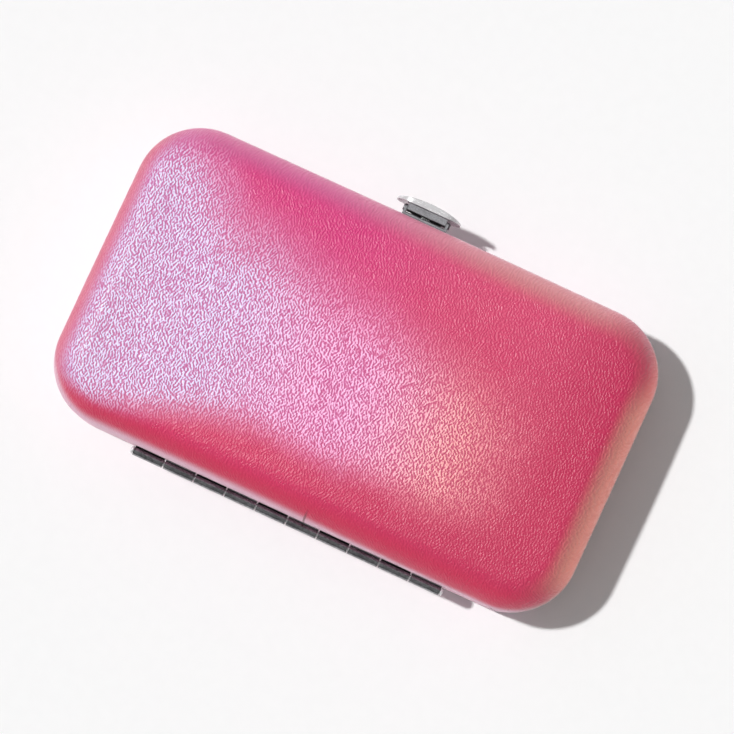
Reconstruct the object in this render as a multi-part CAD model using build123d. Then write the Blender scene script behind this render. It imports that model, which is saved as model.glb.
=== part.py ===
"""A hard clamshell travel case for contact lenses, with its mirror, clasp, piano hinge and kit.

Frame: origin at the centre of the flat underside, +X along the hinge, +Y towards the clasp, +Z up.
The lid is shut. All sizes are in millimetres.
"""

import os
from math import cos, pi, sin

from build123d import *

# ---- driving dimensions: the case ----
LENGTH = 110.0
WIDTH = 62.7
HEIGHT = 25.0
CORNER_R = 13.0  # plan corners
SEAM_Z = 12.5  # plane where lid and base meet
EDGE_R = 6.5  # rolled edge between side wall and lid top
BASE_EDGE_R = 6.0
CROWN_RX = 1000.0  # lengthwise curvature of the lid top
CROWN_RY = 400.0  # crosswise curvature of the lid top
HALF_GAP = 0.1  # from the seam plane to either frame

COVER_T = 0.7  # leather-look skin
SHELL_T = 1.0  # moulded plastic shell
GLUE = 0.05  # glue line, and the running gap between stacked layers
FRAME_T = 0.5  # chromed steel rim strip
FRAME_LEG = 4.4
LEAF_T = 0.4
LINER_T = 0.8
LIP_R = 0.45  # rounded turn of the skin at the seam

SHELL_INSET = COVER_T + GLUE
LEG_INSET = SHELL_INSET + SHELL_T + GLUE
UPRIGHT_INSET = LEG_INSET + FRAME_T + GLUE  # hinge leaf and clasp plates stand inside the rim
FLANGE_INSET = 0.45
LIP_Z = HALF_GAP + FRAME_T + GLUE  # turned-in skin starts here, measured from the seam

# ---- hinge ----
KNUCKLES = 10
KNUCKLE_PITCH = 6.6
KNUCKLE_GAP = 0.3
BARREL_R = 0.95
PIN_R = 0.5
PIN_CLEAR = 0.04
HINGE_Y = -WIDTH / 2 - BARREL_R - 0.05
HINGE_LEN = KNUCKLES * KNUCKLE_PITCH
PIN_HEAD_R = 0.8
PIN_HEAD_T = 0.45
PLATE_SLOT = 0.3  # room in the rim at each end of a leaf or clasp plate

# ---- clasp ----
FRONT_Y = WIDTH / 2
CLASP_W = 9.4
CLASP_BACK_T = 0.7
CLASP_PIN_Y = FRONT_Y + 1.65
CLASP_PIN_Z = SEAM_Z + 2.2
CLASP_PIN_R = 0.4
CLASP_HEAD_R = 0.62
CLASP_HEAD_T = 0.3
CLASP_H = 4.2  # top of the bracket above the seam
EAR_T = 0.5
TOE_Z = 2.7  # underside of the toe below the seam
TOE_T = 0.55
BEAD_R = 0.4
WIRE_R = 0.14
COILS = 4
THUMB_LEN = 13.5
THUMB_H = 8.0
THUMB_T = 1.3
THUMB_TIP_T = 0.35
TOE_W = 6.4
THUMB_Y = FRONT_Y + 2.6  # inner face of the thumb plate

# ---- rivets ----
RIVET_R = 0.6
RIVET_HEAD_R = 1.0
RIVET_HEAD_T = 0.4
RIVET_Z = 2.9  # from the seam
RIVET_HOLE_R = RIVET_R + 0.05
LEAF_RIVET_X = (-27.0, -9.0, 9.0, 27.0)
CLASP_RIVET_X = (-3.0, 3.0)

# ---- tray and kit ----
TRAY_INSET = 3.6
TRAY_TOP = SEAM_Z - 0.7
TRAY_FLOOR = COVER_T + SHELL_T + 3 * GLUE
POCKET_Z = TRAY_FLOOR + 1.0
WELL_PITCH = 32.0
WELL_X = (-34.5, -34.5 + WELL_PITCH)
WELL_Y = -13.4
WELL_R = 9.2
NECK_R = 10.8
CUP_R = 12.0
CAP_R = 12.6
CAP_BORE = 11.6
THREAD_LEAD = 3.0  # two-start thread, so half a turn frees the cap
THREAD_TURNS = 0.42
THREAD_H = 0.45
CAP_Z = 8.2
NECK_TOP = 14.2
CAP_TOP = 16.2
SEAL_T = 0.8
LETTER_T = 0.2
FLUTES = 30
FLUTE_R = 0.55
CAP_THREAD_Z = 2.7  # start of the neck's thread above the cap's open end

BOTTLE_X = 33.0
BOTTLE_W = 21.0
BOTTLE_T = 14.6
BOTTLE_Z = POCKET_Z + BOTTLE_T / 2 + 0.1
BOTTLE_Y0 = -24.0
BOTTLE_LEN = 31.0
BOTTLE_NECK_R = 4.4
BOTTLE_CAP_R = 6.4
BOTTLE_THREAD_H = 0.35
BOTTLE_THREAD_Z = 3.2
BOTTLE_CORNER_R = 6.5
BOTTLE_WALL = 0.9
BOTTLE_CAP_Y = BOTTLE_Y0 + BOTTLE_LEN + 2.2
BOTTLE_CAP_LEN = 12.0
BOTTLE_CAP_BORE = 5.0
BOTTLE_LINER_R = 4.9
BOTTLE_RIBS = 20
BOTTLE_NECK_END = BOTTLE_CAP_Y + BOTTLE_CAP_LEN - 4.6

TWEEZERS_X0 = -48.0
TWEEZERS_LEN = 62.0
TWEEZERS_Y = 8.4
TWEEZERS_W = 10.0
TWEEZERS_T = 5.0
TIP_LEN = 3.0
GROOVE_Z = TRAY_TOP - TWEEZERS_T - 0.6

STICK_X0 = -47.0
STICK_LEN = 50.0
STICK_Y = 21.0
STICK_R = 2.9
STICK_Z = TRAY_TOP - STICK_R - 1.5

MIRROR_L = 80.0
MIRROR_W = 40.0
MIRROR_R = 8.0
MIRROR_T = 1.5
MIRROR_TAPE_T = 0.5
MIRROR_SEAT_Z = 20.2


# ---- small helpers ----
def outline(inset, length=LENGTH, width=WIDTH, radius=CORNER_R):
    """Plan of the case, moved in from its outer wall."""
    return RectangleRounded(length - 2 * inset, width - 2 * inset, radius - inset)


def slab(inset, low, high):
    """The plan between two heights."""
    return Pos(0, 0, low) * extrude(outline(inset), high - low)


def box(x0, x1, y0, y1, z0, z1):
    """A box from its six sides."""
    centre = Pos((x0 + x1) / 2, (y0 + y1) / 2, (z0 + z1) / 2)
    return centre * Box(x1 - x0, y1 - y0, z1 - z0)


def rod_x(radius, x0, x1, y, z):
    """A cylinder along X."""
    return Pos((x0 + x1) / 2, y, z) * Rot(0, 90, 0) * Cylinder(radius, x1 - x0)


def rod_y(radius, y0, y1, x, z):
    """A cylinder along Y."""
    return Pos(x, (y0 + y1) / 2, z) * Rot(90, 0, 0) * Cylinder(radius, y1 - y0)


def rod_z(radius, z0, z1, x=0.0, y=0.0):
    """A cylinder along Z."""
    return Pos(x, y, (z0 + z1) / 2) * Cylinder(radius, z1 - z0)


def flip(shape):
    """Mirror through the seam plane, so one drawing serves lid and base."""
    return mirror(shape, Plane.XY.offset(SEAM_Z))


def rounded_slab(length, width, radius, low, high, x=0.0, y=0.0):
    """A rounded rectangle between two heights."""
    return Pos(x, y, low) * extrude(RectangleRounded(length, width, radius), high - low)


# ---- shells and covers ----
def crown(inset):
    """Everything under the lid's gently barrelled top, moved in by inset."""
    axis_z = HEIGHT - CROWN_RY
    reach = LENGTH
    mid = CROWN_RY - inset
    drop = reach**2 / (2 * (CROWN_RX - inset))
    arc = ThreePointArc((-reach, 0, axis_z + mid - drop), (0, 0, axis_z + mid), (reach, 0, axis_z + mid - drop))
    left = Line((-reach, 0, axis_z), arc @ 0)
    right = Line(arc @ 1, (reach, 0, axis_z))
    foot = Line((reach, 0, axis_z), (-reach, 0, axis_z))
    profile = make_face([left, arc, right, foot])
    return revolve(profile, Axis((0, 0, axis_z), (1, 0, 0)), 360)


def lid_form(inset, low=SEAM_Z):
    """Solid inside the lid's surface moved in by inset, from a height up."""
    body = slab(inset, low, HEIGHT + 2) & crown(inset)
    top_edges = body.faces().sort_by(Axis.Z)[-1].edges()
    return fillet(top_edges, EDGE_R - inset)


def base_form(inset, high=SEAM_Z):
    """Solid inside the base's surface moved in by inset, up to a height."""
    body = slab(inset, inset, high)
    return fillet(body.faces().sort_by(Axis.Z)[0].edges(), BASE_EDGE_R - inset)


def rivet_sites(hinge_side):
    """(x, direction) of each rivet on one long side."""
    return [(x, -1) for x in LEAF_RIVET_X] if hinge_side else [(x, 1) for x in CLASP_RIVET_X]


def rivet_holes(z):
    """Holes for all the rivets of one half."""
    holes = []
    for x, side in rivet_sites(True) + rivet_sites(False):
        y0, y1 = sorted((side * (WIDTH / 2 - SHELL_INSET + 0.02), side * (WIDTH / 2 - 4.0)))
        holes.append(rod_y(RIVET_HOLE_R, y0, y1, x, z))
    return holes


def rivets(hinge_side, z):
    """Rivets through shell, rim and leaf, headed on the inside."""
    made = []
    for x, side in rivet_sites(hinge_side):
        outer = side * (WIDTH / 2 - SHELL_INSET - 0.02)
        inner = side * (WIDTH / 2 - UPRIGHT_INSET - LEAF_T - GLUE)
        head_end = inner - side * RIVET_HEAD_T
        shank = rod_y(RIVET_R, *sorted((outer, inner)), x, z)
        head = rod_y(RIVET_HEAD_R, *sorted((inner, head_end)), x, z)
        rims = (shank + head).edges().filter_by(GeomType.CIRCLE).sort_by(Axis.Y)
        made.append(fillet(rims[0 if side > 0 else -1], 0.25))
    return Compound(made)


def make_lid_cover():
    """Leather-look skin of the lid."""
    low = SEAM_Z + LIP_Z
    outer = lid_form(0.0, low)
    hollow = lid_form(COVER_T, low + COVER_T)
    mouth = slab(LEG_INSET - GLUE, low - 1, low + COVER_T + 0.5)
    skin = outer - hollow - mouth
    rim = skin.faces().sort_by(Axis.Z)[0].outer_wire().edges()
    return fillet(rim, LIP_R)


def make_base_cover():
    """Leather-look skin of the base, flat underneath."""
    high = SEAM_Z - LIP_Z
    outer = base_form(0.0, high)
    hollow = base_form(COVER_T, high - COVER_T)
    mouth = slab(LEG_INSET - GLUE, high - COVER_T - 0.5, high + 1)
    skin = outer - hollow - mouth
    rim = skin.faces().sort_by(Axis.Z)[-1].outer_wire().edges()
    return fillet(rim, LIP_R)


def make_lid_shell():
    """Moulded shell that gives the lid its stiffness."""
    low = SEAM_Z + LIP_Z + COVER_T + GLUE
    shell = lid_form(SHELL_INSET, low) - lid_form(SHELL_INSET + SHELL_T, low - 1)
    for hole in rivet_holes(SEAM_Z + RIVET_Z):
        shell -= hole
    return shell


def make_base_shell():
    """Moulded shell of the base."""
    high = SEAM_Z - LIP_Z - COVER_T - GLUE
    shell = base_form(SHELL_INSET, high) - base_form(SHELL_INSET + SHELL_T, high + 1)
    for hole in rivet_holes(SEAM_Z - RIVET_Z):
        shell -= hole
    return shell


def make_lid_frame():
    """Chromed rim of the lid: a flange at the seam and a leg up inside the shell."""
    low = SEAM_Z + HALF_GAP
    flange = slab(FLANGE_INSET, low, low + FRAME_T) - slab(LEG_INSET + FRAME_T, low - 1, low + 2)
    leg = slab(LEG_INSET, low, low + FRAME_LEG) - slab(LEG_INSET + FRAME_T, low - 1, low + FRAME_LEG + 1)
    rim = flange + leg
    half = HINGE_LEN / 2 + PLATE_SLOT
    rim -= box(-half, half, -WIDTH / 2 - 1, -WIDTH / 2 + 4, low - 1, low + LEAF_T + GLUE)
    half = CLASP_W / 2 + PLATE_SLOT
    rim -= box(-half, half, WIDTH / 2 - 4, WIDTH / 2 + 1, low - 1, low + LEAF_T + GLUE)
    for hole in rivet_holes(SEAM_Z + RIVET_Z):
        rim -= hole
    return rim


# ---- hinge ----
def leaf(first):
    """A hinge leaf above the seam plane, with every second knuckle from the given one."""
    low = SEAM_Z + HALF_GAP
    y_in = -(WIDTH / 2 - UPRIGHT_INSET)
    half = HINGE_LEN / 2
    plate = box(-half, half, HINGE_Y + BARREL_R + 0.1, y_in + LEAF_T, low, low + LEAF_T)
    upright = box(-half, half, y_in, y_in + LEAF_T, low, low + FRAME_LEG)
    body = plate + upright
    body = fillet(body.edges().filter_by(Axis.X).sort_by(lambda e: (e.center().Y - e.center().Z))[-1:], 0.3)
    for i in range(first, KNUCKLES, 2):
        x0 = -half + i * KNUCKLE_PITCH + KNUCKLE_GAP / 2
        x1 = x0 + KNUCKLE_PITCH - KNUCKLE_GAP
        arm = box(x0, x1, HINGE_Y + PIN_R + 0.12, HINGE_Y + BARREL_R + 0.2, low, low + LEAF_T)
        body += rod_x(BARREL_R, x0, x1, HINGE_Y, SEAM_Z) + arm
    body -= rod_x(PIN_R + PIN_CLEAR, -half - 1, half + 1, HINGE_Y, SEAM_Z)
    for x in LEAF_RIVET_X:
        body -= rod_y(RIVET_HOLE_R, y_in - 1, y_in + 1, x, SEAM_Z + RIVET_Z)
    return body


def make_hinge_pin():
    """Pin peened over at both ends."""
    half = HINGE_LEN / 2
    pin = rod_x(PIN_R, -half - 0.05, half + 0.05, HINGE_Y, SEAM_Z)
    for side in (-1, 1):
        x0, x1 = sorted((side * half, side * (half + PIN_HEAD_T)))
        head = rod_x(PIN_HEAD_R, x0, x1, HINGE_Y, SEAM_Z)
        pin += fillet(head.edges().filter_by(GeomType.CIRCLE).sort_by(Axis.X)[-1 if side > 0 else 0], 0.3)
    return pin


# ---- clasp ----
def front_plate(z_low, z_high):
    """Tongue through the seam and upright inside the front rim, above the seam plane."""
    y_in = WIDTH / 2 - UPRIGHT_INSET
    half = CLASP_W / 2
    tongue = box(-half, half, y_in - LEAF_T, FRONT_Y + 0.1, z_low, z_low + LEAF_T)
    upright = box(-half, half, y_in - LEAF_T, y_in, z_low, z_high)
    plate = tongue + upright
    for x in CLASP_RIVET_X:
        plate -= rod_y(RIVET_HOLE_R, y_in - 1, y_in + 1, x, SEAM_Z + RIVET_Z)
    return plate


def make_clasp_bracket():
    """Two-eared bracket on the lid that carries the thumb lever."""
    low = SEAM_Z + HALF_GAP
    half = CLASP_W / 2
    high = SEAM_Z + CLASP_H
    back = box(-half, half, FRONT_Y + 0.05, FRONT_Y + 0.05 + CLASP_BACK_T, low, high)
    back = fillet(back.edges().filter_by(Axis.X).sort_by(Axis.Z)[-2:], 0.2)
    body = front_plate(low, low + FRAME_LEG) + back
    for x0 in (-half, half - EAR_T):
        ear = box(x0, x0 + EAR_T, FRONT_Y + 0.3, FRONT_Y + 2.25, low + LEAF_T + 0.2, high)
        body += fillet(ear.edges().filter_by(Axis.X).sort_by(Axis.Y)[-2:], 0.5)
    body -= rod_x(CLASP_PIN_R + 0.03, -half - 1, half + 1, CLASP_PIN_Y, CLASP_PIN_Z)
    return body


def make_clasp_pin():
    """Pivot of the thumb lever, headed at both ends."""
    half = CLASP_W / 2
    pin = rod_x(CLASP_PIN_R, -half - 0.05, half + 0.05, CLASP_PIN_Y, CLASP_PIN_Z)
    for side in (-1, 1):
        x0, x1 = sorted((side * (half + 0.02), side * (half + 0.02 + CLASP_HEAD_T)))
        head = rod_x(CLASP_HEAD_R, x0, x1, CLASP_PIN_Y, CLASP_PIN_Z)
        pin += fillet(head.edges().filter_by(GeomType.CIRCLE).sort_by(Axis.X)[-1 if side > 0 else 0], 0.2)
    return pin


def make_lever_arm():
    """Lever between the ears: a pivot block, a leg down behind the thumb plate and an inturned toe."""
    half = CLASP_W / 2 - 0.6
    y_in = FRONT_Y + 1.15
    block = box(-half, half, y_in, THUMB_Y, SEAM_Z + 1.3, SEAM_Z + 4.0)
    block = fillet(block.edges().filter_by(Axis.X).sort_by(Axis.Y)[:2], 0.3)
    leg = box(-TOE_W / 2, TOE_W / 2, THUMB_Y - 0.5, THUMB_Y, SEAM_Z - TOE_Z, SEAM_Z + 1.5)
    toe = box(-TOE_W / 2, TOE_W / 2, FRONT_Y + 1.2, THUMB_Y, SEAM_Z - TOE_Z, SEAM_Z - TOE_Z + TOE_T)
    toe = fillet(toe.edges().filter_by(Axis.X).sort_by(Axis.Y)[:2], 0.2)
    body = block + leg + toe
    body -= rod_x(CLASP_PIN_R + 0.05, -half - 1, half + 1, CLASP_PIN_Y, CLASP_PIN_Z)
    body -= box(-1.4, 1.4, y_in - 1, THUMB_Y - 0.1, SEAM_Z + 1.0, SEAM_Z + 3.45)
    return body


def make_thumb_plate():
    """Bowed oval plate that the thumb presses, thick in the middle and thin at its ends."""
    chord = THUMB_LEN / 2
    back = Line((-chord, 0), (chord, 0))
    right_tip = Line((chord, 0), (chord, THUMB_TIP_T))
    left_tip = Line((-chord, 0), (-chord, THUMB_TIP_T))
    bow = ThreePointArc((-chord, THUMB_TIP_T), (0, THUMB_T), (chord, THUMB_TIP_T))
    z0 = SEAM_Z + 1.5 - THUMB_H / 2
    plate = Pos(0, THUMB_Y + GLUE, z0) * extrude(make_face([back, right_tip, bow, left_tip]), THUMB_H)
    oval = RectangleRounded(THUMB_LEN, THUMB_H, 3.2)
    plate &= Pos(0, THUMB_Y + 2, z0 + THUMB_H / 2) * Rot(90, 0, 0) * extrude(oval, 4, both=True)
    return fillet(plate.faces().sort_by(Axis.Y)[-1].edges(), 0.18)


def make_lever_spring():
    """Torsion spring round the clasp pin, one leg on the bracket and one on the thumb lever."""
    coil_r = CLASP_PIN_R + WIRE_R + 0.12
    pitch = 2 * WIRE_R + 0.08
    length = COILS * pitch
    path = Helix(pitch, length, coil_r)
    wire = Plane(origin=path @ 0, z_dir=path % 0) * Circle(WIRE_R)
    coil = sweep(wire, path=path, is_frenet=True)
    coil = Pos(-length / 2, CLASP_PIN_Y, CLASP_PIN_Z) * Rot(0, 90, 0) * coil
    leg_z = CLASP_PIN_Z - coil_r
    rear_leg = rod_y(WIRE_R - 0.01, FRONT_Y + CLASP_BACK_T + 0.1, CLASP_PIN_Y + 0.1, -length / 2, leg_z)
    front_leg = rod_y(WIRE_R - 0.01, CLASP_PIN_Y - 0.1, THUMB_Y - 0.15, length / 2, leg_z)
    return coil + rear_leg + front_leg


def make_catch_spring():
    """Spring catch on the base: its bead holds the lever's toe."""
    high = SEAM_Z - HALF_GAP
    y_in = WIDTH / 2 - UPRIGHT_INSET
    half = CLASP_W / 2
    tongue = box(-half, half, y_in - LEAF_T, FRONT_Y + 0.7, high - LEAF_T, high)
    upright = box(-half, half, y_in - LEAF_T, y_in, high - FRAME_LEG, high)
    drop = box(-TOE_W / 2, TOE_W / 2, FRONT_Y + 0.35, FRONT_Y + 0.7, high - 2.0, high)
    bead = rod_x(BEAD_R, -TOE_W / 2, TOE_W / 2, FRONT_Y + 1.1, high - 1.55)
    neck = box(-TOE_W / 2, TOE_W / 2, FRONT_Y + 0.35, FRONT_Y + 1.1, high - 1.75, high - 1.35)
    body = tongue + upright + drop + bead + neck
    for x in CLASP_RIVET_X:
        body -= rod_y(RIVET_HOLE_R, y_in - 1, y_in + 1, x, SEAM_Z - RIVET_Z)
    return body


# ---- lid lining and mirror ----
def make_lid_liner():
    """Formed velour liner inside the lid shell."""
    inset = SHELL_INSET + SHELL_T + GLUE
    low = SEAM_Z + HALF_GAP + FRAME_LEG + 0.1
    skin = lid_form(inset, low) - lid_form(inset + LINER_T, low - 1)
    skirt = slab(inset + LINER_T - 0.2, low, low + 0.8) - slab(inset + 1.9, low - 1, low + 2)
    return skin + fillet(skirt.edges().group_by(Axis.Z)[0], 0.25)


def make_mirror_pad():
    """Flocked foam pad that fills the crown of the lid and gives the mirror a flat seat."""
    inset = SHELL_INSET + SHELL_T + GLUE + LINER_T + GLUE
    pad = rounded_slab(MIRROR_L + 4, MIRROR_W + 4, MIRROR_R + 2, MIRROR_SEAT_Z, HEIGHT)
    pad = pad & lid_form(inset, SEAM_Z)
    return fillet(pad.faces().sort_by(Axis.Z)[0].edges(), 0.25)


def make_mirror_tape():
    """Two strips of foam tape behind the mirror."""
    strips = []
    for y in (-MIRROR_W / 4, MIRROR_W / 4):
        low = MIRROR_SEAT_Z - MIRROR_TAPE_T + 0.01
        strips.append(rounded_slab(MIRROR_L - 14, 10, 1.5, low, MIRROR_SEAT_Z - 0.01, 0, y))
    return Compound(strips)


def make_mirror():
    """Glass mirror with a ground bevel on its front edge."""
    high = MIRROR_SEAT_Z - MIRROR_TAPE_T
    glass = rounded_slab(MIRROR_L, MIRROR_W, MIRROR_R, high - MIRROR_T, high)
    return chamfer(glass.faces().sort_by(Axis.Z)[0].edges(), 0.4, 0.9)


# ---- tray ----
def make_tray():
    """Flocked foam tray with a fitted pocket for each item and scoops for the fingers."""
    body = slab(TRAY_INSET, TRAY_FLOOR, TRAY_TOP)
    body = fillet(body.faces().sort_by(Axis.Z)[0].edges(), 3.0)
    body += slab(UPRIGHT_INSET + LEAF_T + GLUE + 0.05, TRAY_TOP - 1.0, TRAY_TOP)
    top = TRAY_TOP + 1
    pair_x = sum(WELL_X) / 2
    bottle_end = BOTTLE_Y0 + BOTTLE_LEN
    body -= rounded_slab(WELL_PITCH, 15.0, 2.0, POCKET_Z, top, pair_x, WELL_Y)
    for x in WELL_X:
        body -= rod_z(CAP_R + 0.5, POCKET_Z, top, x, WELL_Y)
    bottle_y = BOTTLE_Y0 + BOTTLE_LEN / 2
    body -= rounded_slab(BOTTLE_W + 1, BOTTLE_LEN + 1, 3.0, POCKET_Z, top, BOTTLE_X, bottle_y)
    body -= rounded_slab(BOTTLE_W + 12, 15.0, 5.0, POCKET_Z + 2.2, top, BOTTLE_X, bottle_y)
    body -= rounded_slab(15.0, 19.0, 2.0, POCKET_Z + 0.8, top, BOTTLE_X, bottle_end + 9.0)
    tweezers_x = TWEEZERS_X0 + TWEEZERS_LEN / 2
    body -= rounded_slab(TWEEZERS_LEN + 1.6, TWEEZERS_W + 1.2, 3.0, GROOVE_Z, top, tweezers_x, TWEEZERS_Y)
    stick_x = STICK_X0 + STICK_LEN / 2
    body -= rounded_slab(STICK_LEN + 1.6, 9.6, 4.0, STICK_Z - STICK_R - 0.1, top, stick_x, STICK_Y)
    body -= rounded_slab(9.0, 9.6, 2.0, STICK_Z - 4.3, top, STICK_X0 + STICK_LEN - 3.6, STICK_Y)
    body -= rounded_slab(13.0, 15.0, 5.0, GROOVE_Z, top, -18.5, 14.5)
    return body


# ---- lens container ----
def thread(radius, height, z0):
    """Two-start helical ridge on a wall; a negative height makes it stand inwards."""
    path = Helix(THREAD_LEAD, THREAD_TURNS * THREAD_LEAD, radius)
    root = -0.2 if height > 0 else 0.2
    shape = make_face(Polyline((root, -0.45), (height, -0.15), (height, 0.15), (root, 0.45), close=True))
    section = Plane(origin=path @ 0, x_dir=(1, 0, 0), z_dir=(0, -1, 0)) * shape
    ridge = sweep(section, path=path, is_frenet=True)
    return [Pos(0, 0, z0) * Rot(0, 0, turn) * ridge for turn in (0, 180)]


def make_lens_container():
    """Twin-well container body with a threaded neck round each well."""
    pair_x = sum(WELL_X) / 2
    body = rounded_slab(WELL_PITCH, 13.0, 1.5, POCKET_Z + 0.05, CAP_Z - 1.6, pair_x, WELL_Y)
    for x in WELL_X:
        cup = rod_z(CUP_R, POCKET_Z + 0.05, CAP_Z - 0.3, x, WELL_Y)
        body += fillet(cup.edges().filter_by(GeomType.CIRCLE).sort_by(Axis.Z)[0], 1.2)
        neck = rod_z(NECK_R, CAP_Z - 1, NECK_TOP, x, WELL_Y)
        body += fillet(neck.edges().filter_by(GeomType.CIRCLE).sort_by(Axis.Z)[-1], 0.3)
    for x in WELL_X:
        well = rod_z(WELL_R, POCKET_Z + 1.6, NECK_TOP + 1, x, WELL_Y)
        body -= fillet(well.edges().filter_by(GeomType.CIRCLE).sort_by(Axis.Z)[0], 4.0)
        for ridge in thread(NECK_R, THREAD_H, CAP_Z + CAP_THREAD_Z):
            body += Pos(x, WELL_Y, 0) * ridge
    return body


def letter(name):
    """A raised L or R, upright for someone facing the clasp side."""
    stem = Pos(-1.9, 0) * Rectangle(1.1, 6.4)
    if name == "L":
        shape = stem + Pos(0, -2.65) * Rectangle(4.9, 1.1)
    else:
        bowl = Circle(1.9) - Circle(0.8)
        bowl = (bowl & Pos(1, 0) * Rectangle(2, 4)) + Pos(-0.9, 1.35) * Rectangle(1.9, 1.1)
        bowl += Pos(-0.9, -1.35) * Rectangle(1.9, 1.1)
        leg = Pos(1.0, -1.75) * Rot(0, 0, 32) * Rectangle(1.1, 3.1)
        shape = stem + Pos(0.2, 1.3) * bowl + (leg & Pos(0, -1.9) * Rectangle(6, 2.6))
    return Rot(0, 0, 180) * extrude(shape, LETTER_T + 0.2)


def make_cap(x, name):
    """Screw cap with a fluted rim, a raised letter and an inside thread."""
    cap = rod_z(CAP_R, CAP_Z, CAP_TOP)
    cap = fillet(cap.edges().filter_by(GeomType.CIRCLE).sort_by(Axis.Z)[-1], 1.0)
    for i in range(FLUTES):
        angle = 2 * pi * i / FLUTES
        away = CAP_R + 0.2
        cap -= rod_z(FLUTE_R, CAP_Z - 1, CAP_TOP - 1.4, away * cos(angle), away * sin(angle))
    cap -= rod_z(CAP_BORE, CAP_Z - 1, NECK_TOP + GLUE + SEAL_T + 0.1)
    for ridge in thread(CAP_BORE, -THREAD_H, CAP_Z + CAP_THREAD_Z - THREAD_LEAD / 4):
        cap += ridge
    cap += Pos(0, 0, CAP_TOP - 0.2) * letter(name)
    return Pos(x, WELL_Y, 0) * cap


def make_seal(x):
    """Silicone disc that seals a well under its cap."""
    disc = rod_z(NECK_R + 0.2, NECK_TOP + GLUE, NECK_TOP + GLUE + SEAL_T, x, WELL_Y)
    return fillet(disc.edges().filter_by(GeomType.CIRCLE), 0.2)


# ---- solution bottle ----
def bottle_place():
    """Where the bottle cap's open end lies, with its axis along +Y."""
    return Pos(BOTTLE_X, BOTTLE_CAP_Y, BOTTLE_Z) * Rot(-90, 0, 0)


def make_bottle():
    """Flat squeeze bottle lying on its side, with its neck towards +Y."""
    section = RectangleRounded(BOTTLE_W, BOTTLE_T, BOTTLE_CORNER_R)
    body = Pos(BOTTLE_X, BOTTLE_Y0 + BOTTLE_LEN, BOTTLE_Z) * Rot(90, 0, 0) * extrude(section, BOTTLE_LEN)
    ends = body.faces().filter_by(Axis.Y)
    body = fillet(ends.sort_by(Axis.Y)[0].edges() + ends.sort_by(Axis.Y)[-1].edges(), 2.2)
    neck_end = BOTTLE_NECK_END
    body += rod_y(BOTTLE_NECK_R, BOTTLE_Y0 + BOTTLE_LEN - 1, neck_end, BOTTLE_X, BOTTLE_Z)
    body += rod_y(BOTTLE_NECK_R + 1.2, BOTTLE_Y0 + BOTTLE_LEN - 0.5, BOTTLE_CAP_Y - 0.6, BOTTLE_X, BOTTLE_Z)
    wall = BOTTLE_WALL
    inner_section = RectangleRounded(BOTTLE_W - 2 * wall, BOTTLE_T - 2 * wall, BOTTLE_CORNER_R - wall)
    hollow = Pos(BOTTLE_X, BOTTLE_Y0 + BOTTLE_LEN - wall, BOTTLE_Z) * Rot(90, 0, 0) * extrude(
        inner_section, BOTTLE_LEN - 2 * wall
    )
    faces = hollow.faces().filter_by(Axis.Y)
    hollow = fillet(faces.sort_by(Axis.Y)[0].edges() + faces.sort_by(Axis.Y)[-1].edges(), 1.4)
    body -= hollow
    body -= rod_y(BOTTLE_NECK_R - 1.0, BOTTLE_Y0 + BOTTLE_LEN - 3, neck_end + 1, BOTTLE_X, BOTTLE_Z)
    for ridge in thread(BOTTLE_NECK_R, BOTTLE_THREAD_H, BOTTLE_THREAD_Z):
        body += bottle_place() * ridge
    return body


def make_bottle_nozzle():
    """Dropper plug pressed into the bottle's neck."""
    neck_end = BOTTLE_NECK_END
    plug = rod_y(BOTTLE_NECK_R - 1.05, neck_end - 4, neck_end + 0.05, BOTTLE_X, BOTTLE_Z)
    plug += rod_y(BOTTLE_NECK_R - 0.2, neck_end + 0.03, neck_end + 0.7, BOTTLE_X, BOTTLE_Z)
    tip = Pos(BOTTLE_X, neck_end + 1.6, BOTTLE_Z) * Rot(-90, 0, 0) * Cone(1.9, 1.0, 1.9)
    plug += tip
    return plug - rod_y(0.45, neck_end - 5, neck_end + 5, BOTTLE_X, BOTTLE_Z)


def make_bottle_liner():
    """Foam liner disc inside the bottle cap."""
    end = BOTTLE_CAP_Y + BOTTLE_CAP_LEN
    return rod_y(BOTTLE_LINER_R, end - 1.95, end - 1.25, BOTTLE_X, BOTTLE_Z)


def make_bottle_cap():
    """Ribbed screw cap of the bottle."""
    end = BOTTLE_CAP_Y + BOTTLE_CAP_LEN
    cap = rod_y(BOTTLE_CAP_R, BOTTLE_CAP_Y, end, BOTTLE_X, BOTTLE_Z)
    cap = fillet(cap.edges().filter_by(GeomType.CIRCLE).sort_by(Axis.Y)[-1], 0.9)
    for i in range(BOTTLE_RIBS):
        a = 2 * pi * i / BOTTLE_RIBS
        r = BOTTLE_CAP_R + 0.25
        cap -= rod_y(0.5, BOTTLE_CAP_Y - 1, end - 1.3, BOTTLE_X + r * cos(a), BOTTLE_Z + r * sin(a))
    cap -= rod_y(BOTTLE_CAP_BORE, BOTTLE_CAP_Y - 1, end - 1.2, BOTTLE_X, BOTTLE_Z)
    for ridge in thread(BOTTLE_CAP_BORE, -BOTTLE_THREAD_H, BOTTLE_THREAD_Z - THREAD_LEAD / 4):
        cap += bottle_place() * ridge
    return cap


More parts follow.
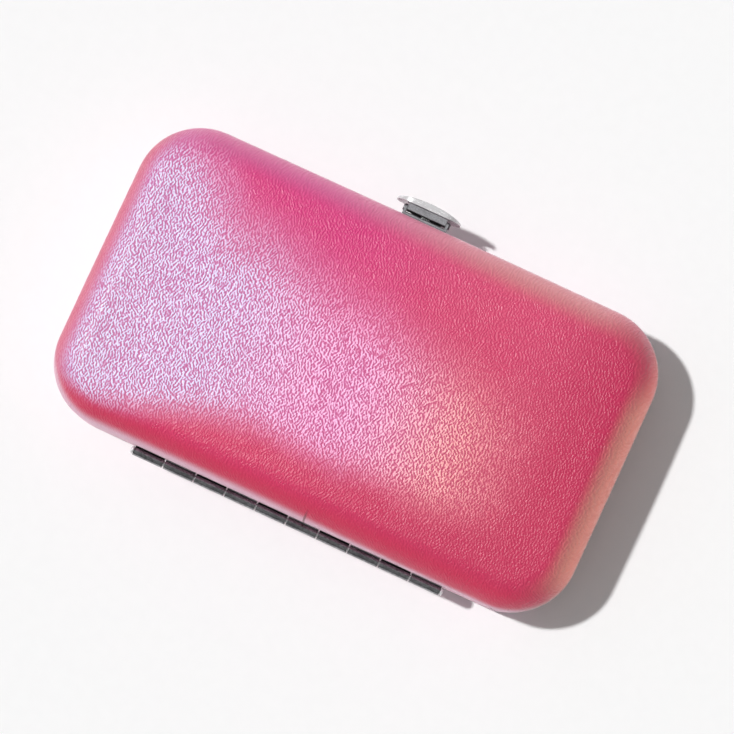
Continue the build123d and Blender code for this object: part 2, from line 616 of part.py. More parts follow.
# ---- tweezers and applicator ----
def make_tweezers():
    """One-piece sprung tweezers lying on their side."""
    x0, x1 = TWEEZERS_X0, TWEEZERS_X0 + TWEEZERS_LEN - TIP_LEN
    half = TWEEZERS_W / 2
    top = Spline((x0 + 1.5, 0.9), (x0 + 10, 3.0), (x0 + 28, half - 0.2), (x1 - 14, half - 0.9), (x1, 2.6))
    end = Line(top @ 1, (x1, 1.5))
    back = Spline((x1, 1.5), (x1 - 14, half - 2.2), (x0 + 28, half - 1.5), (x0 + 11, 1.6), (x0 + 7, 0))
    web = Polyline((x0 + 7, 0), (x0, 0))
    heel = ThreePointArc((x0, 0), (x0 + 0.45, 0.6), (x0 + 1.5, 0.9))
    arm = make_face([top, end, back, web, heel])
    both = arm + mirror(arm, Plane.XZ)
    z0 = GROOVE_Z + 0.1
    return Pos(0, TWEEZERS_Y, z0) * extrude(both, TWEEZERS_T)


def make_tweezers_tips():
    """Soft silicone boots over the two arm ends."""
    x1 = TWEEZERS_X0 + TWEEZERS_LEN - TIP_LEN
    z0 = GROOVE_Z + 0.1
    tips = []
    for side in (-1, 1):
        y = TWEEZERS_Y + side * 2.05
        tip = box(x1 + 0.02, x1 + TIP_LEN, y - 0.85, y + 0.85, z0, z0 + TWEEZERS_T)
        tips.append(fillet(tip.edges().filter_by(Axis.Z).sort_by(Axis.X)[-2:], 0.75))
    return Compound(tips)


def make_applicator():
    """Stick with a waist and a spigot for the suction cup."""
    x1 = STICK_X0 + STICK_LEN
    half = Polyline((STICK_X0, 0), (STICK_X0, 1.9))
    swell = Spline((STICK_X0, 1.9), (STICK_X0 + 3, 2.7), (STICK_X0 + 16, 2.1), (STICK_X0 + 30, 1.9), (x1 - 9, STICK_R))
    neck = Polyline((x1 - 9, STICK_R), (x1 - 8.2, STICK_R), (x1 - 8.2, 1.2), (x1 - 4.4, 1.2), (x1 - 4.4, 0), (STICK_X0, 0))
    profile = make_face([half, swell, neck])
    stick = revolve(profile, Axis.X, 360)
    return Pos(0, STICK_Y, STICK_Z) * stick


def make_applicator_cup():
    """Silicone suction cup on the end of the applicator."""
    x1 = STICK_X0 + STICK_LEN
    profile = make_face(
        Polyline(
            (x1 - 8.1, 1.25), (x1 - 8.1, 2.3), (x1 - 4.0, 1.8), (x1 - 2.2, 2.3), (x1, 4.2),
            (x1 + 0.2, 3.9), (x1 - 1.6, 1.9), (x1 - 2.4, 0.9), (x1 - 2.6, 0.0), (x1 - 4.3, 0.0),
            (x1 - 4.3, 1.25), close=True,
        )
    )
    return Pos(0, STICK_Y, STICK_Z) * revolve(profile, Axis.X, 360)


def build():
    """Every sub-part by node name."""
    nodes = {
        "base_cover": make_base_cover(),
        "base_shell": make_base_shell(),
        "base_frame": flip(make_lid_frame()),
        "base_hinge_leaf": flip(leaf(0)),
        "base_hinge_rivets": rivets(True, SEAM_Z - RIVET_Z),
        "hinge_pin": make_hinge_pin(),
        "catch_spring": make_catch_spring(),
        "catch_rivets": rivets(False, SEAM_Z - RIVET_Z),
        "tray": make_tray(),
        "lid_cover": make_lid_cover(),
        "lid_shell": make_lid_shell(),
        "lid_frame": make_lid_frame(),
        "lid_hinge_leaf": leaf(1),
        "lid_hinge_rivets": rivets(True, SEAM_Z + RIVET_Z),
        "lid_liner": make_lid_liner(),
        "mirror_pad": make_mirror_pad(),
        "mirror_tape": make_mirror_tape(),
        "mirror": make_mirror(),
        "clasp_bracket": make_clasp_bracket(),
        "clasp_rivets": rivets(False, SEAM_Z + RIVET_Z),
        "clasp_pin": make_clasp_pin(),
        "lever_arm": make_lever_arm(),
        "thumb_plate": make_thumb_plate(),
        "lever_spring": make_lever_spring(),
        "lens_container": make_lens_container(),
        "left_cap": make_cap(WELL_X[1], "L"),
        "right_cap": make_cap(WELL_X[0], "R"),
        "left_seal": make_seal(WELL_X[1]),
        "right_seal": make_seal(WELL_X[0]),
        "bottle": make_bottle(),
        "bottle_nozzle": make_bottle_nozzle(),
        "bottle_liner": make_bottle_liner(),
        "bottle_cap": make_bottle_cap(),
        "tweezers": make_tweezers(),
        "tweezers_tips": make_tweezers_tips(),
        "applicator": make_applicator(),
        "applicator_cup": make_applicator_cup(),
    }
    return nodes


def main():
    """Write one STEP file for each node."""
    os.makedirs("parts", exist_ok=True)
    for name, shape in build().items():
        export_step(shape, f"parts/{name}.step")


main()
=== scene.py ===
"""Looks of a hard clamshell contact lens case: pearl leather outside, flocked kit tray inside.

The case lies shut on a pale floor. Lengths in the classes are millimetres; meshes are written in metres.
"""

import logging
import math
from dataclasses import dataclass, field
from enum import Enum

import bmesh
import bpy
import numpy as np
from mathutils import Matrix, Vector


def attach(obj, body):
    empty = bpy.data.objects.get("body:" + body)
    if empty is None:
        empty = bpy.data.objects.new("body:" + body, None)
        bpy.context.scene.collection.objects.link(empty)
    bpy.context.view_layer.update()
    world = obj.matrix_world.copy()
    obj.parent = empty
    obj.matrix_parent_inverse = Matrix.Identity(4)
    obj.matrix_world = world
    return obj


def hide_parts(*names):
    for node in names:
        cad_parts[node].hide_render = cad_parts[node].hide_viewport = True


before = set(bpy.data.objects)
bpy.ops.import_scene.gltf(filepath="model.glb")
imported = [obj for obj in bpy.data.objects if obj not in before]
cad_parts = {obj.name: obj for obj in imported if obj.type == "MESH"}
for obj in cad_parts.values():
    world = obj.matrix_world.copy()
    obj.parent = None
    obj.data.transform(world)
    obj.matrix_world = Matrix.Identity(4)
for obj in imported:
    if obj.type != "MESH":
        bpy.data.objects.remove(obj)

log = logging.getLogger("lens_case")

MM = 0.001
Colour = tuple[float, float, float]


def shade(code: str) -> Colour:
    """Turn a hex colour as seen on a screen into linear light.

    Args:
        code: six hex digits.

    Returns:
        Linear red, green and blue.
    """
    parts = [int(code[i : i + 2], 16) / 255 for i in (0, 2, 4)]
    return tuple(p / 12.92 if p <= 0.04045 else ((p + 0.055) / 1.055) ** 2.4 for p in parts)


# ---------------------------------------------------------------- shader writing


class Graph:
    """Writes nodes into one shader tree, with sockets passed about as plain values."""

    def __init__(self, tree: bpy.types.NodeTree) -> None:
        """Keep the tree to write in."""
        self.tree = tree

    def add(self, kind: str, **settings) -> bpy.types.Node:
        """Add a node and set its properties.

        Args:
            kind: the node's type name.
            settings: properties to set on it.

        Returns:
            The new node.
        """
        node = self.tree.nodes.new(kind)
        for key, value in settings.items():
            setattr(node, key, value)
        return node

    def plug(self, socket: bpy.types.NodeSocket, value) -> None:
        """Link a socket to another, or set its constant."""
        if isinstance(value, bpy.types.NodeSocket):
            self.tree.links.new(value, socket)
        elif isinstance(value, tuple) and len(value) == 3 and socket.type == "RGBA":
            socket.default_value = (*value, 1.0)
        else:
            socket.default_value = value

    def math(self, operation: str, a, b=0.0, c=0.0) -> bpy.types.NodeSocket:
        """One arithmetic step on up to three numbers."""
        node = self.add("ShaderNodeMath", operation=operation)
        for socket, value in zip(node.inputs, (a, b, c)):
            self.plug(socket, value)
        return node.outputs[0]

    def vector(self, operation: str, a, b=(0.0, 0.0, 0.0), scale: float = 1.0) -> bpy.types.NodeSocket:
        """One arithmetic step on vectors."""
        node = self.add("ShaderNodeVectorMath", operation=operation)
        self.plug(node.inputs[0], a)
        self.plug(node.inputs[1], b)
        if operation == "SCALE":
            self.plug(node.inputs["Scale"], scale)
        return node.outputs["Value" if operation in ("DOT_PRODUCT", "LENGTH") else "Vector"]

    def remap(self, kind: str, value, low: float, high: float, first: float, last: float):
        """Map low..high to first..last with the given kind of step, held at the ends."""
        node = self.add("ShaderNodeMapRange", interpolation_type=kind, clamp=True)
        for name, number in (("From Min", low), ("From Max", high), ("To Min", first), ("To Max", last)):
            node.inputs[name].default_value = number
        self.plug(node.inputs["Value"], value)
        return node.outputs["Result"]

    def ease(self, value, low: float, high: float, first: float = 0.0, last: float = 1.0):
        """Smooth step from first to last as value goes from low to high."""
        return self.remap("SMOOTHSTEP", value, low, high, first, last)

    def span(self, value, low: float, high: float, first: float = 0.0, last: float = 1.0):
        """Straight-line map from first to last as value goes from low to high."""
        return self.remap("LINEAR", value, low, high, first, last)

    def mix(self, factor, first, second, blend: str = "MIX") -> bpy.types.NodeSocket:
        """Mix two colours."""
        node = self.add("ShaderNodeMix", data_type="RGBA", blend_type=blend)
        self.plug(node.inputs[0], factor)
        self.plug(node.inputs[6], first)
        self.plug(node.inputs[7], second)
        return node.outputs[2]

    def noise(self, place, scale: float, detail: float = 2.0, rough: float = 0.5, warp: float = 0.0):
        """Cloudy noise between 0 and 1."""
        node = self.add("ShaderNodeTexNoise")
        self.plug(node.inputs["Vector"], place)
        for name, number in zip(("Scale", "Detail", "Roughness", "Distortion"), (scale, detail, rough, warp)):
            node.inputs[name].default_value = number
        return node.outputs[0]

    def tint(self, place, scale: float) -> bpy.types.NodeSocket:
        """Three cloudy noises as one vector."""
        node = self.add("ShaderNodeTexNoise")
        self.plug(node.inputs["Vector"], place)
        node.inputs["Scale"].default_value = scale
        node.inputs["Detail"].default_value = 1.0
        return node.outputs["Color"]

    def place_mm(self) -> bpy.types.NodeSocket:
        """The piece's own coordinates in millimetres."""
        coords = self.add("ShaderNodeTexCoord")
        return self.vector("SCALE", coords.outputs["Object"], scale=1000.0)

    def facing(self) -> bpy.types.NodeSocket:
        """The piece's own surface direction."""
        return self.add("ShaderNodeTexCoord").outputs["Normal"]

    def split(self, value) -> tuple:
        """The three parts of a vector."""
        node = self.add("ShaderNodeSeparateXYZ")
        self.plug(node.inputs[0], value)
        return tuple(node.outputs)

    def join(self, x, y, z) -> bpy.types.NodeSocket:
        """A vector from three parts."""
        node = self.add("ShaderNodeCombineXYZ")
        for socket, value in zip(node.inputs, (x, y, z)):
            self.plug(socket, value)
        return node.outputs[0]

    def bump(self, height, strength: float, depth_mm: float) -> bpy.types.NodeSocket:
        """Normal from a height pattern that is depth_mm deep."""
        node = self.add("ShaderNodeBump")
        node.inputs["Strength"].default_value = strength
        node.inputs["Distance"].default_value = depth_mm * MM
        self.plug(node.inputs["Height"], height)
        return node.outputs[0]

    def use(self, group: bpy.types.NodeTree, **values) -> bpy.types.Node:
        """Place a shared effect, with its inputs by name."""
        node = self.add("ShaderNodeGroup", node_tree=group)
        for name, value in values.items():
            self.plug(node.inputs[name], value)
        return node


def new_effect(
    name: str, inputs: dict[str, str], outputs: dict[str, str]
) -> tuple[bpy.types.NodeTree, Graph, dict, dict]:
    """Start a shared shader effect.

    Args:
        name: the effect's name.
        inputs: input names and socket kinds.
        outputs: output names and socket kinds.

    Returns:
        The tree, its writer, its input sockets and the sockets to plug its outputs into.
    """
    tree = bpy.data.node_groups.new(name, "ShaderNodeTree")
    for label, kind in inputs.items():
        tree.interface.new_socket(name=label, in_out="INPUT", socket_type=kind)
    for label, kind in outputs.items():
        tree.interface.new_socket(name=label, in_out="OUTPUT", socket_type=kind)
    graph = Graph(tree)
    source = graph.add("NodeGroupInput")
    sink = graph.add("NodeGroupOutput")
    return tree, graph, {k: source.outputs[k] for k in inputs}, {k: sink.inputs[k] for k in outputs}


def new_material(name: str) -> tuple[bpy.types.Material, Graph, bpy.types.Node]:
    """Start a material with one surface shader.

    Args:
        name: the material's name.

    Returns:
        The material, its writer and its surface shader node.
    """
    material = bpy.data.materials.new(name)
    material.use_nodes = True
    graph = Graph(material.node_tree)
    return material, graph, material.node_tree.nodes["Principled BSDF"]


@dataclass(frozen=True)
class GrainPattern:
    """Sizes of the leather's grain. Scale times frequency is the number of ridges in a millimetre."""

    scale: float = 1.15
    frequency: float = 1.45
    anisotropy: float = 0.50
    heading: float = 12.0  # degrees from the hinge's direction to the direction across the ridges
    sway: float = 0.8  # how far the ridges wander, in mm
    sway_scale: float = 0.16
    fold: tuple[float, float] = (0.35, 0.45)  # share of the height that is folded into X and into Y
    break_scale: float = 1.5
    pebble_scale: float = 7.5
    pebble_height: float = 0.10


class Effects:
    """Shader effects that several finishes share."""

    def __init__(self) -> None:
        """Build each shared effect once."""
        self.grain = self.leather_grain()
        self.handling = self.handling_marks()
        self.nap = self.velvet_nap()

    def leather_grain(self) -> bpy.types.NodeTree:
        """Short broken ridges 0.6 mm apart that run mostly across the case, with fine pebbling on them.

        The pattern is flat: height is folded into both of its axes, so that it also covers the walls.

        Returns:
            Effect with Height and Ridge, both between 0 and 1.
        """
        tree, g, given, out = new_effect(
            "leather_grain",
            {"Place": "NodeSocketVector"},
            {"Height": "NodeSocketFloat", "Ridge": "NodeSocketFloat"},
        )
        cut = GrainPattern()
        sway = g.vector("SCALE", g.tint(given["Place"], cut.sway_scale), scale=cut.sway)
        x, y, z = g.split(g.vector("ADD", given["Place"], sway))
        waves = g.add("ShaderNodeTexGabor", gabor_type="2D")
        along, across = (g.math("MULTIPLY_ADD", z, share, axis) for share, axis in zip(cut.fold, (x, y)))
        g.plug(waves.inputs["Vector"], g.join(along, across, 0.0))
        waves.inputs["Scale"].default_value = cut.scale
        waves.inputs["Frequency"].default_value = cut.frequency
        waves.inputs["Anisotropy"].default_value = cut.anisotropy
        waves.inputs["Orientation 2D"].default_value = math.radians(cut.heading)
        broken = g.ease(g.noise(given["Place"], cut.break_scale, 1.0, 0.5), 0.32, 0.58, 0.40, 1.0)
        ridge = g.math("MULTIPLY", g.ease(waves.outputs["Value"], 0.30, 0.68), broken)
        fine = g.noise(given["Place"], cut.pebble_scale, 1.0, 0.5)
        g.plug(out["Height"], g.math("MULTIPLY_ADD", fine, cut.pebble_height, ridge))
        g.plug(out["Ridge"], ridge)
        return tree

    def handling_marks(self) -> bpy.types.NodeTree:
        """Faint smudges and hairline scratches from use.

        Returns:
            Effect with a Smudge value and a Scratch mask.
        """
        tree, g, given, out = new_effect(
            "handling_marks",
            {"Place": "NodeSocketVector"},
            {"Smudge": "NodeSocketFloat", "Scratch": "NodeSocketFloat"},
        )
        g.plug(out["Smudge"], g.ease(g.noise(given["Place"], 0.35, 3.0, 0.55, 0.4), 0.35, 0.75))
        stretched = g.vector("MULTIPLY", given["Place"], (0.5, 7.0, 7.0))
        g.plug(out["Scratch"], g.ease(g.noise(stretched, 1.3, 2.0, 0.6, 0.2), 0.62, 0.72))
        return tree

    def velvet_nap(self) -> bpy.types.NodeTree:
        """Short dense fibres that lean this way and that in soft patches.

        Returns:
            Effect with a Fibre height and a Lean value.
        """
        tree, g, given, out = new_effect(
            "velvet_nap",
            {"Place": "NodeSocketVector"},
            {"Fibre": "NodeSocketFloat", "Lean": "NodeSocketFloat"},
        )
        g.plug(out["Fibre"], g.noise(given["Place"], 9.0, 2.0, 0.7))
        g.plug(out["Lean"], g.ease(g.noise(given["Place"], 0.16, 2.0, 0.5, 0.8), 0.3, 0.7))
        return tree


# ---------------------------------------------------------------- finishes


@dataclass(frozen=True)
class PearlLeather:
    """Grained faux leather under a pearl film: crimson ground, with painted light: a lavender painted sheen,
    a warm painted reflection at the far end, painted shade and sheen on the rims and walls, painted glints
    and shade in the grain, and a weak painted glow on two edges.
    """

    rose: Colour = shade("d32574")
    blush: Colour = shade("d33868")
    raspberry: Colour = shade("bd164e")
    crimson: Colour = shade("cf2c5e")
    claret: Colour = shade("c52b56")
    # Painted sheen: ice, lilac, pink and warm paint the pearl film's broad reflection of the light.
    painted_sheen_ice: Colour = shade("c89ccc")
    painted_sheen_lilac: Colour = shade("d0a0d4")
    painted_sheen_pink: Colour = shade("e388c0")
    painted_sheen_warm: Colour = shade("e57f92")
    # Painted sheen on the clasp-side roll, magenta to coral.
    clasp_sheen_magenta: Colour = shade("d873a4")
    clasp_sheen_coral: Colour = shade("dc9a9a")
    # Painted reflection: warm peach on the far-end roll.
    far_rim_painted_reflection: Colour = shade("d3867c")
    # Painted shade: darker reds on the rolls that face left and towards the hinge.
    left_rim_painted_shade: Colour = shade("d96480")
    hinge_rim_painted_shade: Colour = shade("ce3256")
    # Painted sheen: the pale wall colour stands for the film's bright grazing reflection; the far end wall's
    # darker copy adds painted shade.
    wall: Colour = shade("e6b4ca")
    end_wall_shaded_sheen: Colour = shade("c08c86")
    # Painted shade darkens the grain's grooves and painted glints lighten its crests, as colour factors.
    painted_groove_shade: Colour = (0.84, 0.54, 0.78)
    painted_crest_glint: Colour = (1.42, 2.35, 1.66)
    film: Colour = (1.0, 0.74, 0.82)
    far_edge_painted_glow: Colour = (0.24, 0.055, 0.035)  # painted glow: weak emission that stands for the warm sheen along the far end's edge
    clasp_edge_painted_glow: Colour = (0.09, 0.02, 0.035)
    seam_x: float = 3.2  # where the leather's two ends meet, behind the hinge
    seam_shade: Colour = shade("7a1c34")
    roughness: float = 0.44
    smudge: float = 0.10
    ridge_polish: float = -0.06
    specular: float = 0.55
    coat: float = 0.06
    coat_roughness: float = 0.3
    sheen: float = 0.25
    sheen_roughness: float = 0.4
    grain_strength: float = 0.65
    grain_depth: float = 0.15  # mm

    def painted_sheen_mask(self, g: Graph, x, y):
        """Where the painted sheen lies: a long soft lobe that fans out to the left and narrows to the right.

        Args:
            g: the shader writer.
            x: place along the hinge in mm.
            y: place across the case in mm.

        Returns:
            Mask between 0 and 1.
        """
        low = g.ease(x, -58.0, -13.5, -30.5, -18.0)
        high = g.math("ADD", g.span(x, -48.0, -32.0, 27.0, 13.3), g.span(x, -32.0, 24.0, 0.0, -10.5))
        above = g.ease(g.math("SUBTRACT", y, low), -5.5, 5.5)
        below = g.ease(g.math("SUBTRACT", y, high), -12.0, 12.0, 1.0, 0.0)
        ahead = g.ease(x, 17.4, 43.0, 1.0, 0.0)
        return g.math("MULTIPLY", g.math("MULTIPLY", above, below), ahead)

    def ground(self, g: Graph, x, y):
        """The film's colour without the painted sheen: rose by the clasp, crimson by the hinge, raspberry at
        the right.

        Args:
            g: the shader writer.
            x: place along the hinge in mm.
            y: place across the case in mm.

        Returns:
            Colour socket.
        """
        hinge_side = g.mix(g.ease(x, -24.0, 46.0), self.crimson, self.claret)
        clasp_side = g.mix(g.ease(x, -16.0, 22.0), self.rose, self.blush)
        clasp_side = g.mix(g.ease(x, 24.0, 52.0), clasp_side, self.raspberry)
        return g.mix(g.ease(y, -16.0, 26.0), hinge_side, clasp_side)

    def painted_sheen(self, g: Graph, x):
        """The painted sheen's colour along the case: ice, lilac, pink, then warm.

        Args:
            g: the shader writer.
            x: place along the hinge in mm.

        Returns:
            Colour socket.
        """
        colour = g.mix(g.ease(x, -56.0, -36.0), self.painted_sheen_ice, self.painted_sheen_lilac)
        colour = g.mix(g.ease(x, -30.0, -2.0), colour, self.painted_sheen_pink)
        return g.mix(g.ease(x, 0.0, 26.0), colour, self.painted_sheen_warm)

    def build(self, name: str, effects: Effects) -> bpy.types.Material:
        """Make the material.

        Args:
            name: the material's name.
            effects: the shared shader effects.

        Returns:
            The finished material.
        """
        material, g, skin = new_material(name)
        place = g.place_mm()
        drift = g.math("MULTIPLY_ADD", g.noise(place, 0.07, 3.0, 0.6, 0.5), 8.0, -4.0)
        x, y, z = g.split(place)
        soft_x = g.math("ADD", x, drift)
        soft_y = g.math("MULTIPLY_ADD", drift, 0.5, y)
        nx, ny, nz = g.split(g.facing())
        grain = g.use(effects.grain, Place=place)
        ridge = grain.outputs["Ridge"]

        mask = self.painted_sheen_mask(g, soft_x, soft_y)
        crest = g.ease(ridge, 0.08, 0.80)
        # Painted sheen, laid on more strongly where the grain's crests stand up.
        painted_sheen_share = g.math("MINIMUM", g.math("MULTIPLY", mask, g.math("MULTIPLY_ADD", crest, 0.85, 0.52)), 1.0)
        colour = g.mix(painted_sheen_share, self.ground(g, soft_x, soft_y), self.painted_sheen(g, x))
        # Painted sheen on the roll that faces the clasp side, set by the surface's facing.
        clasp_rim_sheen = g.mix(g.ease(x, -25.0, 25.0), self.clasp_sheen_magenta, self.clasp_sheen_coral)
        reach = g.math("MULTIPLY", g.ease(ny, -0.05, 0.83, 0.0, 0.82), g.ease(x, 36.0, 50.0, 1.0, 0.44))
        colour = g.mix(reach, colour, clasp_rim_sheen)
        # Painted reflection: warm peach on the roll that faces the far end, set by facing.
        reach = g.math("MULTIPLY", g.ease(nx, 0.10, 0.71, 0.0, 0.96), g.ease(y, 12.0, 26.0, 1.0, 0.06))
        reach = g.math("MULTIPLY", reach, g.ease(y, -28.0, -18.0, 0.25, 1.0))
        colour = g.mix(reach, colour, self.far_rim_painted_reflection)
        # Painted shade on the rolls that face left and towards the hinge, set by facing.
        colour = g.mix(g.ease(nx, -0.91, -0.41, 0.96, 0.0), colour, self.left_rim_painted_shade)
        colour = g.mix(g.ease(ny, -0.66, -0.28, 0.95, 0.0), colour, self.hinge_rim_painted_shade)
        # Painted sheen on the upright walls, with painted shade on the far end wall.
        wall = g.mix(g.ease(nx, 0.3, 0.8), self.wall, self.end_wall_shaded_sheen)
        shift = g.math("MULTIPLY", g.ease(ny, -0.6, -0.1, 0.26, 0.0), g.ease(x, -10.0, 30.0, 1.0, 0.25))
        turned = g.math("SUBTRACT", nz, shift)
        colour = g.mix(g.ease(turned, 0.05, 0.40, 0.95, 0.0), colour, wall)

        off_seam = g.math("ABSOLUTE", g.math("SUBTRACT", x, self.seam_x))
        seam = g.math("MULTIPLY", g.ease(off_seam, 0.10, 0.32, 1.0, 0.0), g.ease(ny, -0.9, -0.6, 1.0, 0.0))
        colour = g.mix(g.math("MULTIPLY", seam, 0.85), colour, self.seam_shade)
        # Painted glints and painted shade in the grain: crests lightened, grooves darkened, most on the top
        # and in the painted sheen.
        crown = g.ease(nz, 0.75, 0.97, 0.2, 1.0)
        painted_glint_reach = g.math("MULTIPLY", crown, g.math("MULTIPLY_ADD", mask, 0.75, 0.25))
        shaded_groove_factor = g.mix(painted_glint_reach, (1.0, 1.0, 1.0), self.painted_groove_shade)
        glinting_crest_factor = g.mix(painted_glint_reach, (1.0, 1.0, 1.0), self.painted_crest_glint)
        colour = g.mix(1.0, colour, g.mix(crest, shaded_groove_factor, glinting_crest_factor), "MULTIPLY")
        marks = g.use(effects.handling, Place=place)
        rough = g.math("MULTIPLY_ADD", marks.outputs["Smudge"], self.smudge, self.roughness)
        g.plug(skin.inputs["Base Color"], colour)
        g.plug(skin.inputs["Roughness"], g.math("MULTIPLY_ADD", ridge, self.ridge_polish, rough))
        skin.inputs["Specular IOR Level"].default_value = self.specular
        skin.inputs["Coat Weight"].default_value = self.coat
        skin.inputs["Coat Roughness"].default_value = self.coat_roughness
        skin.inputs["Sheen Weight"].default_value = self.sheen
        skin.inputs["Sheen Roughness"].default_value = self.sheen_roughness
        skin.inputs["Sheen Tint"].default_value = (*self.film, 1.0)
        depth = g.math("MULTIPLY_ADD", mask, 0.45, g.ease(nz, 0.3, 0.8, 0.6, 0.75))
        height = g.math("MULTIPLY", grain.outputs["Height"], depth)
        g.plug(skin.inputs["Normal"], g.bump(height, self.grain_strength, self.grain_depth))
        # Painted glow: weak emission on the far-end and clasp-side edges stands for sheen; the leather is no
        # lamp.
        far_edge = g.math("MULTIPLY", g.ease(nx, 0.50, 0.92), g.ease(nz, 0.05, 0.40))
        far_edge = g.math("MULTIPLY", far_edge, g.ease(y, -28.0, -18.0, 0.2, 1.0))
        clasp_edge = g.math("MULTIPLY", g.ease(ny, 0.50, 0.90), g.ease(nz, 0.05, 0.40))
        glow = g.mix(clasp_edge, (0.0, 0.0, 0.0), self.clasp_edge_painted_glow)
        g.plug(skin.inputs["Emission Color"], g.mix(far_edge, glow, self.far_edge_painted_glow))
        skin.inputs["Emission Strength"].default_value = 1.0
        return material


@dataclass(frozen=True)
class PlatedMetal:
    """Bright plated or bare metal with fine brushing, smudges and hairline scratches."""

    colour: Colour
    dull: Colour
    roughness: float = 0.18
    brushing: float = 0.12
    pits: float = 0.0
    metallic: float = 1.0
    relief: float = 0.12
    relief_depth: float = 0.03  # mm

    def build(self, name: str, effects: Effects) -> bpy.types.Material:
        """Make the material.

        Args:
            name: the material's name.
            effects: the shared shader effects.

        Returns:
            The finished material.
        """
        material, g, skin = new_material(name)
        place = g.place_mm()
        marks = g.use(effects.handling, Place=place)
        streak = g.noise(g.vector("MULTIPLY", place, (0.6, 11.0, 11.0)), 1.0, 3.0, 0.6)
        worn = g.math("MULTIPLY", marks.outputs["Smudge"], 0.6)
        colour = g.mix(worn, self.colour, self.dull)
        if self.pits:
            pitted = g.ease(g.noise(place, 3.4, 4.0, 0.7, 0.6), 0.42, 0.60)
            colour = g.mix(g.math("MULTIPLY", pitted, self.pits), colour, (0.02, 0.02, 0.022))
        g.plug(skin.inputs["Base Color"], colour)
        rough = g.math("MULTIPLY_ADD", streak, self.brushing, self.roughness)
        g.plug(skin.inputs["Roughness"], g.math("MULTIPLY_ADD", marks.outputs["Scratch"], 0.15, rough))
        skin.inputs["Metallic"].default_value = self.metallic
        height = g.math("MULTIPLY_ADD", marks.outputs["Scratch"], -0.5, streak)
        g.plug(skin.inputs["Normal"], g.bump(height, self.relief, self.relief_depth))
        return material


@dataclass(frozen=True)
class MouldedPlastic:
    """Injection-moulded plastic: slight mottle, fine moulded texture and soft light inside."""

    colour: Colour
    shadow: Colour
    roughness: float = 0.3
    glow: float = 0.0
    texture: float = 0.10
    texture_depth: float = 0.03  # mm

    def build(self, name: str, effects: Effects) -> bpy.types.Material:
        """Make the material.

        Args:
            name: the material's name.
            effects: the shared shader effects.

        Returns:
            The finished material.
        """
        material, g, skin = new_material(name)
        place = g.place_mm()
        marks = g.use(effects.handling, Place=place)
        flow = g.ease(g.noise(place, 0.22, 3.0, 0.5, 0.8), 0.3, 0.7)
        g.plug(skin.inputs["Base Color"], g.mix(g.math("MULTIPLY", flow, 0.45), self.colour, self.shadow))
        rough = g.math("MULTIPLY_ADD", marks.outputs["Smudge"], 0.12, self.roughness)
        g.plug(skin.inputs["Roughness"], rough)
        skin.inputs["Subsurface Weight"].default_value = self.glow
        skin.inputs["Subsurface Radius"].default_value = (1.0, 0.8, 0.7)
        skin.inputs["Subsurface Scale"].default_value = 0.0012
        stipple = g.noise(place, 7.0, 2.0, 0.6)
        g.plug(skin.inputs["Normal"], g.bump(stipple, self.texture, self.texture_depth))
        return material


@dataclass(frozen=True)
class Flock:
    """Short-pile flock or velour with fibres that lean in patches and catch light at the edges."""

    colour: Colour
    light: Colour
    pile: float = 0.5
    pile_depth: float = 0.12  # mm

    def build(self, name: str, effects: Effects) -> bpy.types.Material:
        """Make the material.

        Args:
            name: the material's name.
            effects: the shared shader effects.

        Returns:
            The finished material.
        """
        material, g, skin = new_material(name)
        place = g.place_mm()
        nap = g.use(effects.nap, Place=place)
        fleck = g.ease(nap.outputs["Fibre"], 0.30, 0.72)
        tone = g.math("MULTIPLY_ADD", nap.outputs["Lean"], 0.35, g.math("MULTIPLY", fleck, 0.6))
        lint = g.ease(g.noise(g.vector("MULTIPLY", place, (1.0, 3.0, 1.0)), 2.1, 3.0, 0.8, 1.5), 0.70, 0.76)
        colour = g.mix(tone, self.colour, self.light)
        g.plug(skin.inputs["Base Color"], g.mix(g.math("MULTIPLY", lint, 0.25), colour, (0.6, 0.5, 0.55)))
        skin.inputs["Roughness"].default_value = 0.95
        skin.inputs["Specular IOR Level"].default_value = 0.15
        skin.inputs["Sheen Weight"].default_value = 0.6
        skin.inputs["Sheen Roughness"].default_value = 0.35
        skin.inputs["Sheen Tint"].default_value = (*self.light, 1.0)
        height = g.math("MULTIPLY_ADD", nap.outputs["Lean"], 0.3, nap.outputs["Fibre"])
        g.plug(skin.inputs["Normal"], g.bump(height, self.pile, self.pile_depth))
        return material


@dataclass(frozen=True)
class SilveredGlass:
    """Silvered mirror glass with a bright face, a green-grey edge and faint fingerprints."""

    silver: Colour = (0.90, 0.92, 0.92)
    edge: Colour = (0.42, 0.58, 0.54)

    def build(self, name: str, effects: Effects) -> bpy.types.Material:
        """Make the material.

        Args:
            name: the material's name.
            effects: the shared shader effects.

        Returns:
            The finished material.
        """
        material, g, skin = new_material(name)
        place = g.place_mm()
        marks = g.use(effects.handling, Place=place)
        flat = g.ease(g.math("ABSOLUTE", g.split(g.facing())[2]), 0.6, 0.95)
        g.plug(skin.inputs["Base Color"], g.mix(flat, self.edge, self.silver))
        g.plug(skin.inputs["Roughness"], g.math("MULTIPLY_ADD", marks.outputs["Smudge"], 0.05, 0.02))
        g.plug(skin.inputs["Metallic"], g.span(flat, 0.0, 1.0, 0.5, 1.0))
        skin.inputs["Coat Weight"].default_value = 0.5
        skin.inputs["Coat Roughness"].default_value = 0.02
        return material


# ---------------------------------------------------------------- surfaces


